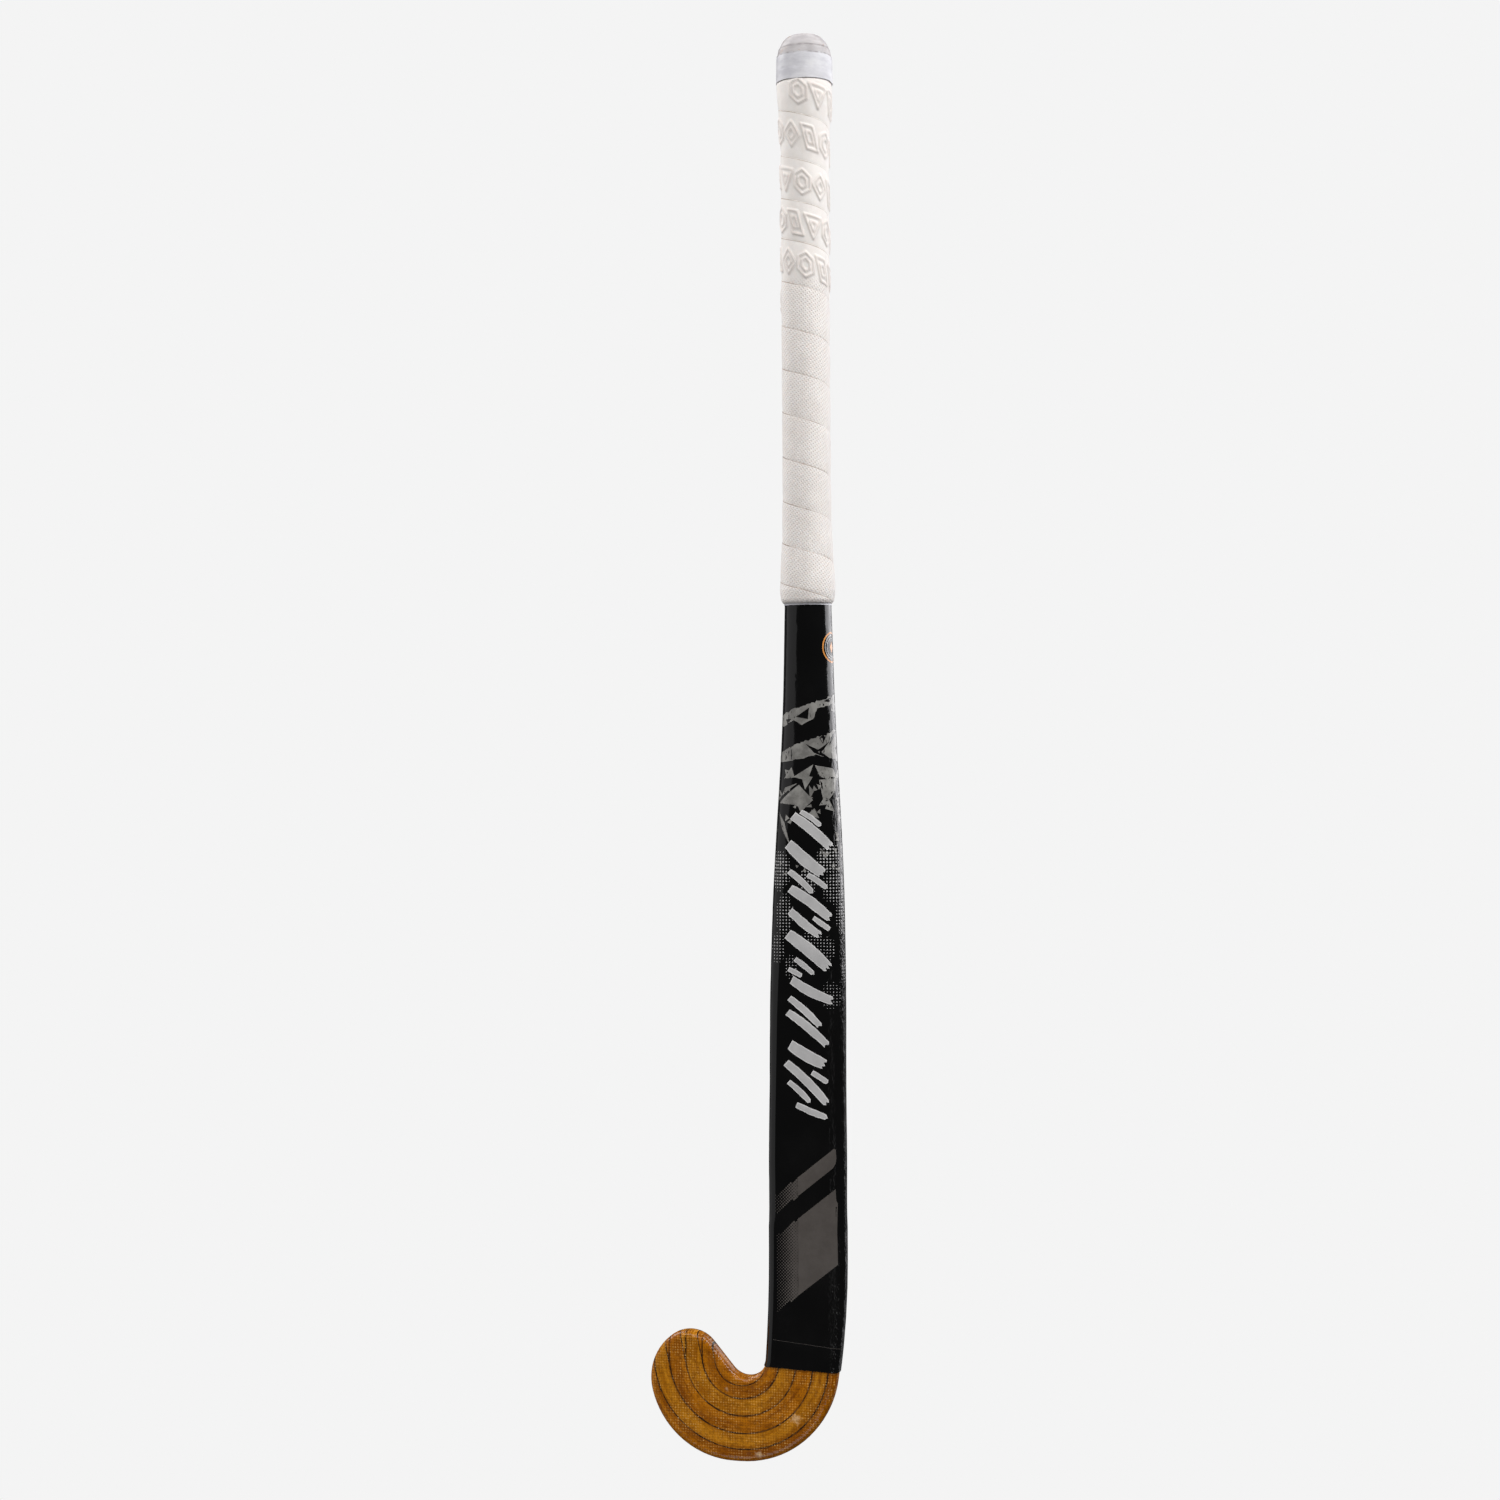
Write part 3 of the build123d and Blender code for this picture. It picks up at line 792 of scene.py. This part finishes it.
def brush_slashes(rng):
    """Bold hand-painted strokes up the blade, in loose bundles, and their pale rims."""
    # Each stroke is (start u, start z, end u, end z, width, bend).
    bundles = [
        [(-7.0, -292.0, 15.0, -310.0, 5.2, 0.8), (-2.0, -289.5, 9.0, -297.0, 2.2, 0.4)],
        [(-10.0, -309.0, 10.5, -326.0, 6.6, -0.8), (2.0, -327.5, 12.5, -334.5, 2.4, 0.3)],
        [(-9.5, -325.5, 3.5, -337.0, 3.0, 0.5), (-9.0, -336.0, 14.5, -352.5, 5.4, 0.9)],
        [(-9.0, -349.5, 8.0, -363.0, 4.4, -0.6), (5.5, -353.5, 14.5, -359.5, 2.2, 0.0)],
        [(-10.5, -363.5, 13.5, -382.5, 6.8, 0.8), (-6.0, -378.5, 4.0, -386.0, 2.4, 0.3)],
        [(-8.0, -391.0, 15.5, -402.5, 5.0, -1.0), (-10.0, -384.5, -3.0, -388.0, 2.2, 0.2)],
        [(-9.5, -402.0, 8.5, -417.5, 3.4, 0.6), (-10.5, -410.5, 13.0, -429.0, 4.2, 0.8)],
        [(-9.0, -430.0, 11.5, -441.0, 6.4, -0.7), (4.5, -446.5, 13.0, -451.5, 2.4, 0.2)],
        [(-11.5, -441.0, 12.5, -463.5, 4.4, 0.9), (-10.0, -452.5, 2.0, -463.0, 2.6, 0.4)],
        [(-5.0, -466.0, 12.0, -472.5, 3.0, -0.4)],
    ]
    fills, rims = [], []
    for bundle in bundles:
        for start_u, start_z, end_u, end_z, width, bend in bundle:
            start, end = (start_u, start_z), (end_u, end_z)
            seed = rng.random()
            rims.append(brush_stroke(start, end, width, bend, random.Random(seed), 0.5))
            fills.append(brush_stroke(start, end, width, bend, random.Random(seed)))
    return fills, rims


def split_by_fade(outline):
    """The part of an outline right of FADE_END as one piece, and growing dots to its left."""
    solid = []
    for (x1, y1), (x2, y2) in zip(outline, outline[1:] + outline[:1]):
        if x1 >= FADE_END:
            solid.append((x1, y1))
        if (x1 >= FADE_END) != (x2 >= FADE_END):
            share = (FADE_END - x1) / (x2 - x1)
            solid.append((FADE_END, y1 + (y2 - y1) * share))
    lows, highs = np.min(outline, axis=0), np.max(outline, axis=0)
    dots = []
    columns = int((FADE_END - FADE_START) / (FADE_PITCH / 2)) + 1
    for column in range(columns):
        u = FADE_END - (column + 0.25) * FADE_PITCH / 2
        share = (u - FADE_START) / (FADE_END - FADE_START)
        offset = FADE_PITCH / 2 if column % 2 else 0.0
        for row in range(int((highs[1] - lows[1]) / FADE_PITCH) + 1):
            z = lows[1] + row * FADE_PITCH + offset
            if inside((u, z), outline):
                radius = FADE_PITCH * (0.12 + 0.34 * share)
                dots.append(dot((u, z), radius))
    return solid, dots


def stripe_outline():
    """The diagonal stripe above the panel, rounded at its right end."""
    return [(-18.7, -520.8), (17.8, -491.4), (18.7, -492.0), (19.2, -497.0), (18.6, -500.4),
            (17.0, -503.2), (-18.7, -532.2)]


def panel_outline():
    """The large slanted panel low on the blade."""
    return [(-18.3, -545.3), (18.6, -515.7), (19.0, -522.6), (19.9, -524.1), (19.5, -540.5),
            (19.9, -560.9), (-18.3, -591.6)]


def filled(outlines, step=2.0):
    """Fills several outlines."""
    return [fill_outline(outline, step) for outline in outlines]


def make_prints(surface):
    """Everything printed on the film. All of it is plain pattern, with no lettering."""
    rng = random.Random(34)
    metal = print_material("print_grey", (0.20, 0.195, 0.185), (0.36, 0.355, 0.335), 0.35)
    pale = print_material("print_pale", (0.48, 0.48, 0.485), (0.57, 0.57, 0.575), 0.15, 60.0)
    rim = print_material("print_rim", (0.66, 0.66, 0.665), (0.78, 0.78, 0.78), 0.1, 60.0)
    warm = print_material("print_dark", (0.078, 0.068, 0.062), (0.095, 0.084, 0.077), 0.2, 90.0)
    orange = print_material("print_orange", (0.62, 0.24, 0.045), (0.74, 0.31, 0.07), 0.1, 90.0)
    black = film_material("print_cut")

    make_print(surface, "bands_print", filled(jagged_bands(rng)), metal, 0.07)
    make_print(surface, "band_cuts_print", filled(band_cuts()), black, 0.10)
    make_print(surface, "shards_print", filled(large_shards()), metal, 0.07)
    make_print(surface, "slivers_print", filled(small_shards(rng)), metal, 0.065)
    make_print(surface, "halftone_print", halftone_field(rng), pale, 0.075)

    fills, rims = brush_slashes(rng)
    make_print(surface, "slash_rims_print", filled(rims), rim, 0.11)
    make_print(surface, "slashes_print", filled(fills), pale, 0.15)

    solids, dots = [], []
    for outline in (stripe_outline(), panel_outline()):
        solid, fading = split_by_fade(outline)
        solids.append(solid)
        dots += fading
    make_print(surface, "panel_print", filled(solids), warm, 0.07)
    make_print(surface, "panel_fade_print", dots, warm, 0.07)

    seam = [(-24.5, -607.6), (24.5, -612.0), (24.5, -612.16), (-24.5, -607.76)]
    make_print(surface, "seam_print", filled([seam], 1.0), warm, 0.02)

    broad = [ring(BADGE_CENTRE, 9.4, 8.45)]
    make_print(surface, "badge_ring_print", broad, orange, 0.07)
    thin = [ring(BADGE_CENTRE, 7.3, 7.0), ring(BADGE_CENTRE, 5.6, 5.35)]
    make_print(surface, "badge_lines_print", thin, rim, 0.07)
    u, z = BADGE_CENTRE
    diamond = [(u - 2.6, z), (u, z - 3.6), (u + 2.6, z), (u, z + 3.6)]
    make_print(surface, "badge_mark_print", filled([diamond]), orange, 0.07)


# ---- Wrapped grip --------------------------------------------------------------------
def edge_height(turns):
    """Height of the strip's exposed edge after this many turns from the front."""
    known = np.arange(len(TURN_EDGES))
    inner = np.interp(turns, known, TURN_EDGES)
    above = TURN_EDGES[0] - turns * TURN_PITCH
    below = TURN_EDGES[-1] - (turns - known[-1]) * TURN_PITCH
    return np.where(turns < 0, above, np.where(turns > known[-1], below, inner))


def distance_to_outline(along, across, corners):
    """Distance from points on the strip to a closed outline."""
    best = np.full(along.shape, 1e9)
    for (x1, y1), (x2, y2) in zip(corners, corners[1:] + corners[:1]):
        dx, dy = x2 - x1, y2 - y1
        share = np.clip(((along - x1) * dx + (across - y1) * dy) / (dx * dx + dy * dy), 0, 1)
        best = np.minimum(best, np.hypot(along - x1 - share * dx, across - y1 - share * dy))
    return best


def nested(figure, share):
    """An outline and a smaller copy of it inside."""
    return [figure, [(x * share, y * share) for x, y in figure]]


def emboss_outlines():
    """Plain raised figures, 15 mm tall: nested hexagons, diamonds, triangles and leaning boxes."""
    hexagon = [(-4.6, -3.6), (0.0, -7.4), (4.6, -3.6), (4.6, 3.6), (0.0, 7.4), (-4.6, 3.6)]
    diamond = [(-5.0, 0.0), (0.0, -7.4), (5.0, 0.0), (0.0, 7.4)]
    triangle = [(-5.2, -6.0), (5.2, -6.0), (0.0, 7.4)]
    box = [(-5.0, -6.8), (1.4, -6.8), (5.0, 6.8), (-1.4, 6.8)]
    return [nested(hexagon, 0.52), nested(box, 0.46), nested(triangle, 0.40), nested(diamond, 0.48)]


def emboss(along, down):
    """Height of the raised figures at places on the strip; one place in 17 is left plain."""
    height = np.zeros(along.shape)
    figures = emboss_outlines()
    order = [0, 2, 1, 3, 0, 1, 2, 0, 3, 1]
    length = TURN_LENGTH * EMBOSSED_TURNS
    for number in range(int(length / EMBOSS_SPACING)):
        centre = -TURN_LENGTH + number * EMBOSS_SPACING
        near = np.abs(along - centre) < EMBOSS_REACH
        if number % 17 == 12:
            continue
        x, y = along[near] - centre, down[near] - TURN_PITCH * 0.50
        for outline in figures[order[number % len(order)]]:
            ridge = np.exp(-(distance_to_outline(x, y, outline) / EMBOSS_WIDTH) ** 2)
            height[near] = np.maximum(height[near], EMBOSS_HEIGHT * ridge)
    return height


class Skin:
    """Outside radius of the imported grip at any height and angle, in millimetres."""

    def __init__(self, low, high):
        self.heights, _, self.radii = measure_skin("grip_wrap", low, high, SKIN_COLUMNS)

    def radius(self, z, angle):
        """Radii for arrays of heights in millimetres and angles from the front."""
        column = (angle + math.pi) / (2 * math.pi) * SKIN_COLUMNS
        return mix_grid(self.radii, row_at(self.heights, z), column)


def make_grip():
    """The chamois strip wound round the handle as one closed piece."""
    low, high = (corner.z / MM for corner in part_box("grip_wrap"))
    skin = Skin(low + 0.05, high - 0.05)
    last_turn = len(TURN_EDGES) + TURNS_PAST_LAST_EDGE
    columns = int(round((last_turn - FIRST_TURN) * GRIP_COLUMNS))
    turns = FIRST_TURN + np.arange(columns + 1)[:, None] / GRIP_COLUMNS
    share = np.linspace(0.0, 1.0, GRIP_ROWS + 1)[None, :]
    share = share - ROW_CROWDING * np.sin(2 * math.pi * share)
    top, bottom = edge_height(turns), edge_height(turns + 1.0)
    z = (top - LAP_REACH) + (bottom - top + LAP_REACH) * share
    angle = ((turns + 0.5) % 1.0 - 0.5) * 2 * math.pi * np.ones_like(z)
    down = top - z
    along = turns * TURN_LENGTH * np.ones_like(z)

    base = skin.radius(z, angle)
    swell = TURN_SWELL * (np.sin(math.pi * np.clip(share, 0, 1)) ** 0.5 - 0.8)
    rounding = EDGE_ROUNDING * np.exp(-(down / EDGE_ROUNDING_REACH) ** 2)
    rise = TURN_STEP * (0.5 - share) + swell - rounding
    slack = SLACK * np.sin(along * SLACK_WAVES) * np.sin(share * math.pi)
    raised = emboss(along, down) * (turns < EMBOSS_END_TURN)
    radius = base + rise + slack + raised
    outside = (z > high) | (z < low)
    end_drop = np.minimum(high - np.clip(z, low, high), np.clip(z, low, high) - low)
    radius = radius - END_ROUNDING * np.exp(-(end_drop / END_ROUNDING_REACH))
    radius = np.where(outside, base - TUCKED_UNDER, radius)
    z = np.clip(z, low, high)

    corners = np.array([np.sin(angle) * radius, -np.cos(angle) * radius, z]) * MM
    mesh = bpy.data.meshes.new("wrapped_grip")
    work = bmesh.new()
    place_and_shade_layer = work.verts.layers.float_vector.new("strip_place_and_ridge_shade")
    grid = []
    for i in range(columns + 1):
        line = []
        for j in range(GRIP_ROWS + 1):
            vertex = work.verts.new(corners[:, i, j])
            # The third value is painted shade at the foot of the raised figures, strongest halfway up
            # each ridge.
            foot = raised[i, j] / EMBOSS_HEIGHT
            vertex[place_and_shade_layer] = (along[i, j] * MM, down[i, j] * MM, 4 * foot * (1 - foot))
            line.append(vertex)
        grid.append(line)
    for i in range(columns):
        for j in range(GRIP_ROWS):
            work.faces.new((grid[i][j], grid[i][j + 1], grid[i + 1][j + 1], grid[i + 1][j]))
    for i in range(columns - GRIP_COLUMNS):
        upper, lower = grid[i], grid[i + GRIP_COLUMNS]
        upper_next, lower_next = grid[i + 1], grid[i + 1 + GRIP_COLUMNS]
        work.faces.new((upper[-1], lower[0], lower_next[0], upper_next[-1]))
    bmesh.ops.remove_doubles(work, verts=work.verts, dist=2e-7)
    bmesh.ops.dissolve_degenerate(work, edges=work.edges, dist=1e-7)
    close_grip(work, low, high, skin)
    bmesh.ops.recalc_face_normals(work, faces=work.faces)
    work.to_mesh(mesh)
    work.free()
    piece = add_object("wrapped_grip", mesh)
    mesh.materials.append(chamois_material())
    for polygon in mesh.polygons:
        polygon.use_smooth = True
    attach(piece, "root")
    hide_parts("grip_wrap")


def close_grip(work, low, high, skin):
    """Removes loose leftovers and closes the strip with a sleeve just under its outside."""
    loose = [v for v in work.verts if not v.link_faces]
    bmesh.ops.delete(work, geom=loose, context="VERTS")
    edges = [e for e in work.edges if len(e.link_faces) == 1
             and all(abs(v.co.z / MM - high) < 0.01 for v in e.verts)]
    for height in np.linspace(high, low, SLEEVE_RINGS):
        extruded = bmesh.ops.extrude_edge_only(work, edges=edges)["geom"]
        edges = [g for g in extruded if isinstance(g, bmesh.types.BMEdge)]
        for vertex in (g for g in extruded if isinstance(g, bmesh.types.BMVert)):
            angle = math.atan2(vertex.co.x, -vertex.co.y)
            reach = float(skin.radius(np.array(height), np.array(angle))) - SLEEVE_DEPTH
            vertex.co = Vector((math.sin(angle) * reach, -math.cos(angle) * reach, height)) * MM
    rims = [e for e in work.edges if len(e.link_faces) == 1]
    bmesh.ops.bridge_loops(work, edges=rims)


# ---- Stage, lights, camera -----------------------------------------------------------
# Camera angles are in degrees, its distance and its aim's offset in metres.
CAMERA_AZIMUTH = 15.0
CAMERA_DISTANCE = 1.5563
CAMERA_ASIDE = -0.0361
CAMERA_VIEW = 32.73
CAMERA_LEAN = 0.27

# The room's sizes are in metres.
FLOOR_DROP = 0.9
ROOM_REACH = 7.0
ROOM_WALL = 5.0
ROOM_SIDES = 64


def make_camera(bounds):
    """Level camera at mid height, turned towards the heel side."""
    low, high = bounds
    middle = (low[2] + high[2]) / 2
    camera = add_object("camera", bpy.data.cameras.new("camera"))
    azimuth = math.radians(CAMERA_AZIMUTH)
    target = Vector((CAMERA_ASIDE, 0.0, middle))
    outward = Vector((math.sin(azimuth), -math.cos(azimuth), 0.0))
    camera.location = target + outward * CAMERA_DISTANCE
    camera.rotation_euler = (math.radians(90), math.radians(CAMERA_LEAN), azimuth)
    camera.data.sensor_width = 36.0
    camera.data.angle = math.radians(CAMERA_VIEW)
    camera.data.clip_start = 0.05
    camera.data.clip_end = 60.0
    bpy.context.scene.camera = camera


def flat_glow(name, colour, strength):
    """A plain evenly lit surface."""
    material = bpy.data.materials.new(name)
    material.use_nodes = True
    tree = material.node_tree
    tree.nodes.clear()
    glow = tree.nodes.new("ShaderNodeEmission")
    glow.inputs["Color"].default_value = (*colour, 1.0)
    glow.inputs["Strength"].default_value = strength
    output = tree.nodes.new("ShaderNodeOutputMaterial")
    tree.links.new(glow.outputs[0], output.inputs["Surface"])
    return material


def make_room(bounds):
    """A pale sweep of floor and wall round the object, far enough to take no shadow."""
    floor = bounds[0][2] - FLOOR_DROP
    work = bmesh.new()
    rings = []
    for radius, height in ((0.01, floor), (ROOM_REACH - 1.0, floor), (ROOM_REACH - 0.3, floor + 0.3),
                           (ROOM_REACH, floor + 1.0), (ROOM_REACH, floor + ROOM_WALL)):
        loop = []
        for i in range(ROOM_SIDES):
            angle = 2 * math.pi * i / ROOM_SIDES
            loop.append(work.verts.new((radius * math.cos(angle), radius * math.sin(angle), height)))
        rings.append(loop)
    for inner, outer in zip(rings, rings[1:]):
        for i in range(ROOM_SIDES):
            j = (i + 1) % ROOM_SIDES
            work.faces.new((inner[i], outer[i], outer[j], inner[j]))
    mesh = bpy.data.meshes.new("room")
    work.to_mesh(mesh)
    work.free()
    room = add_object("room", mesh)
    mesh.materials.append(flat_glow("room_paper", (0.905, 0.905, 0.905), 1.0))
    room.visible_glossy = False
    room.visible_diffuse = False
    room.visible_shadow = False


def make_softbox(name, azimuth, rise, distance, width, height, power, colour, target):
    """An area light at an azimuth from the front (towards +X) and a rise, facing target."""
    light = bpy.data.lights.new(name, "AREA")
    light.shape = "RECTANGLE"
    light.size = width
    light.size_y = height
    light.energy = power
    light.color = colour
    softbox = add_object(name, light)
    a, b = math.radians(azimuth), math.radians(rise)
    outward = Vector((math.sin(a) * math.cos(b), -math.cos(a) * math.cos(b), math.sin(b)))
    softbox.location = Vector(target) + outward * distance
    softbox.rotation_euler = outward.to_track_quat("Z", "Y").to_euler()


def make_lights(bounds):
    """Soft front light from above, a broad dim left panel and a bright strip on the right."""
    low, high = bounds
    middle = (0.0, 0.0, (low[2] + high[2]) / 2)
    # Name, azimuth, rise, distance, width, height, power, colour and what it faces.
    make_softbox("front_light", -8, 45, 3.4, 2.5, 2.0, 70.0, (1.0, 0.982, 0.965), middle)
    make_softbox("low_light", 0, -48, 3.2, 2.3, 1.6, 32.0, (1.0, 0.99, 0.98), middle)
    make_softbox("right_top_light", 78, 46, 3.2, 2.0, 1.8, 108.0, (1.0, 0.995, 0.99), middle)
    make_softbox("left_top_light", -100, 42, 3.2, 2.0, 2.0, 84.0, (1.0, 0.99, 0.99), middle)
    make_softbox("left_panel", -72, 0, 2.0, 3.2, 3.4, 9.0, (1.0, 0.99, 1.0), middle)
    upper, lower = (0.0, 0.0, 0.25), (0.0, 0.0, -0.95)
    make_softbox("right_upper_strip", 137, 0, 1.5, 1.8, 1.3, 15.0, (0.98, 0.97, 1.0), upper)
    make_softbox("right_lower_strip", 153, 0, 1.5, 0.30, 1.1, 0.6, (0.98, 0.97, 1.0), lower)
    world = bpy.data.worlds.new("studio")
    world.use_nodes = True
    world.node_tree.nodes["Background"].inputs["Color"].default_value = (1.0, 1.0, 1.0, 1.0)
    world.node_tree.nodes["Background"].inputs["Strength"].default_value = 0.03
    bpy.context.scene.world = world


# ---- Build ---------------------------------------------------------------------------
pale_wood = wood_material("mulberry_pale", (0.28, 0.088, 0.0), (0.54, 0.215, 0.008))
dark_wood = wood_material("mulberry_dark", (0.22, 0.060, 0.0), (0.46, 0.155, 0.002))
dress(["ply_2", "ply_4"], pale_wood)
dress(["ply_1_heel", "ply_3", "ply_5", "ply_6_crook"], dark_wood)
dress([f"glue_line_{i}" for i in range(1, 6)] + ["splice_glue"], glue_material())
dress(["handle_stave_left", "handle_stave_centre", "handle_stave_right"], plain_wood_material())
dress(["handle_damper_left", "handle_damper_right"], rubber_material())
dress(["glass_sleeve"], glass_material())
dress(["film_sleeve", "film_lower_band"], film_material("black_film"))
outer_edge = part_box("end_tape_outer")[1].z
middle_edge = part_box("end_tape_middle")[1].z
clean_tape = tape_material("white_tape", (0.52, 0.52, 0.56), (0.70, 0.70, 0.73), outer_edge, 0.0)
worn_tape = tape_material("worn_tape", (0.36, 0.34, 0.35), (0.52, 0.50, 0.51), middle_edge, 0.5)
dress(["grip_base_tape", "end_tape_outer"], clean_tape)
dress(["end_tape_cover", "end_tape_middle"], worn_tape)
dress(["grip_underlay"], chamois_material())

make_prints(FilmSurface(FILM_LOW, FILM_HIGH))
make_grip()

make_room(packed_bounds)
make_lights(packed_bounds)
make_camera(packed_bounds)
bpy.context.scene.view_settings.view_transform = "Standard"
bpy.context.scene.view_settings.look = "None"
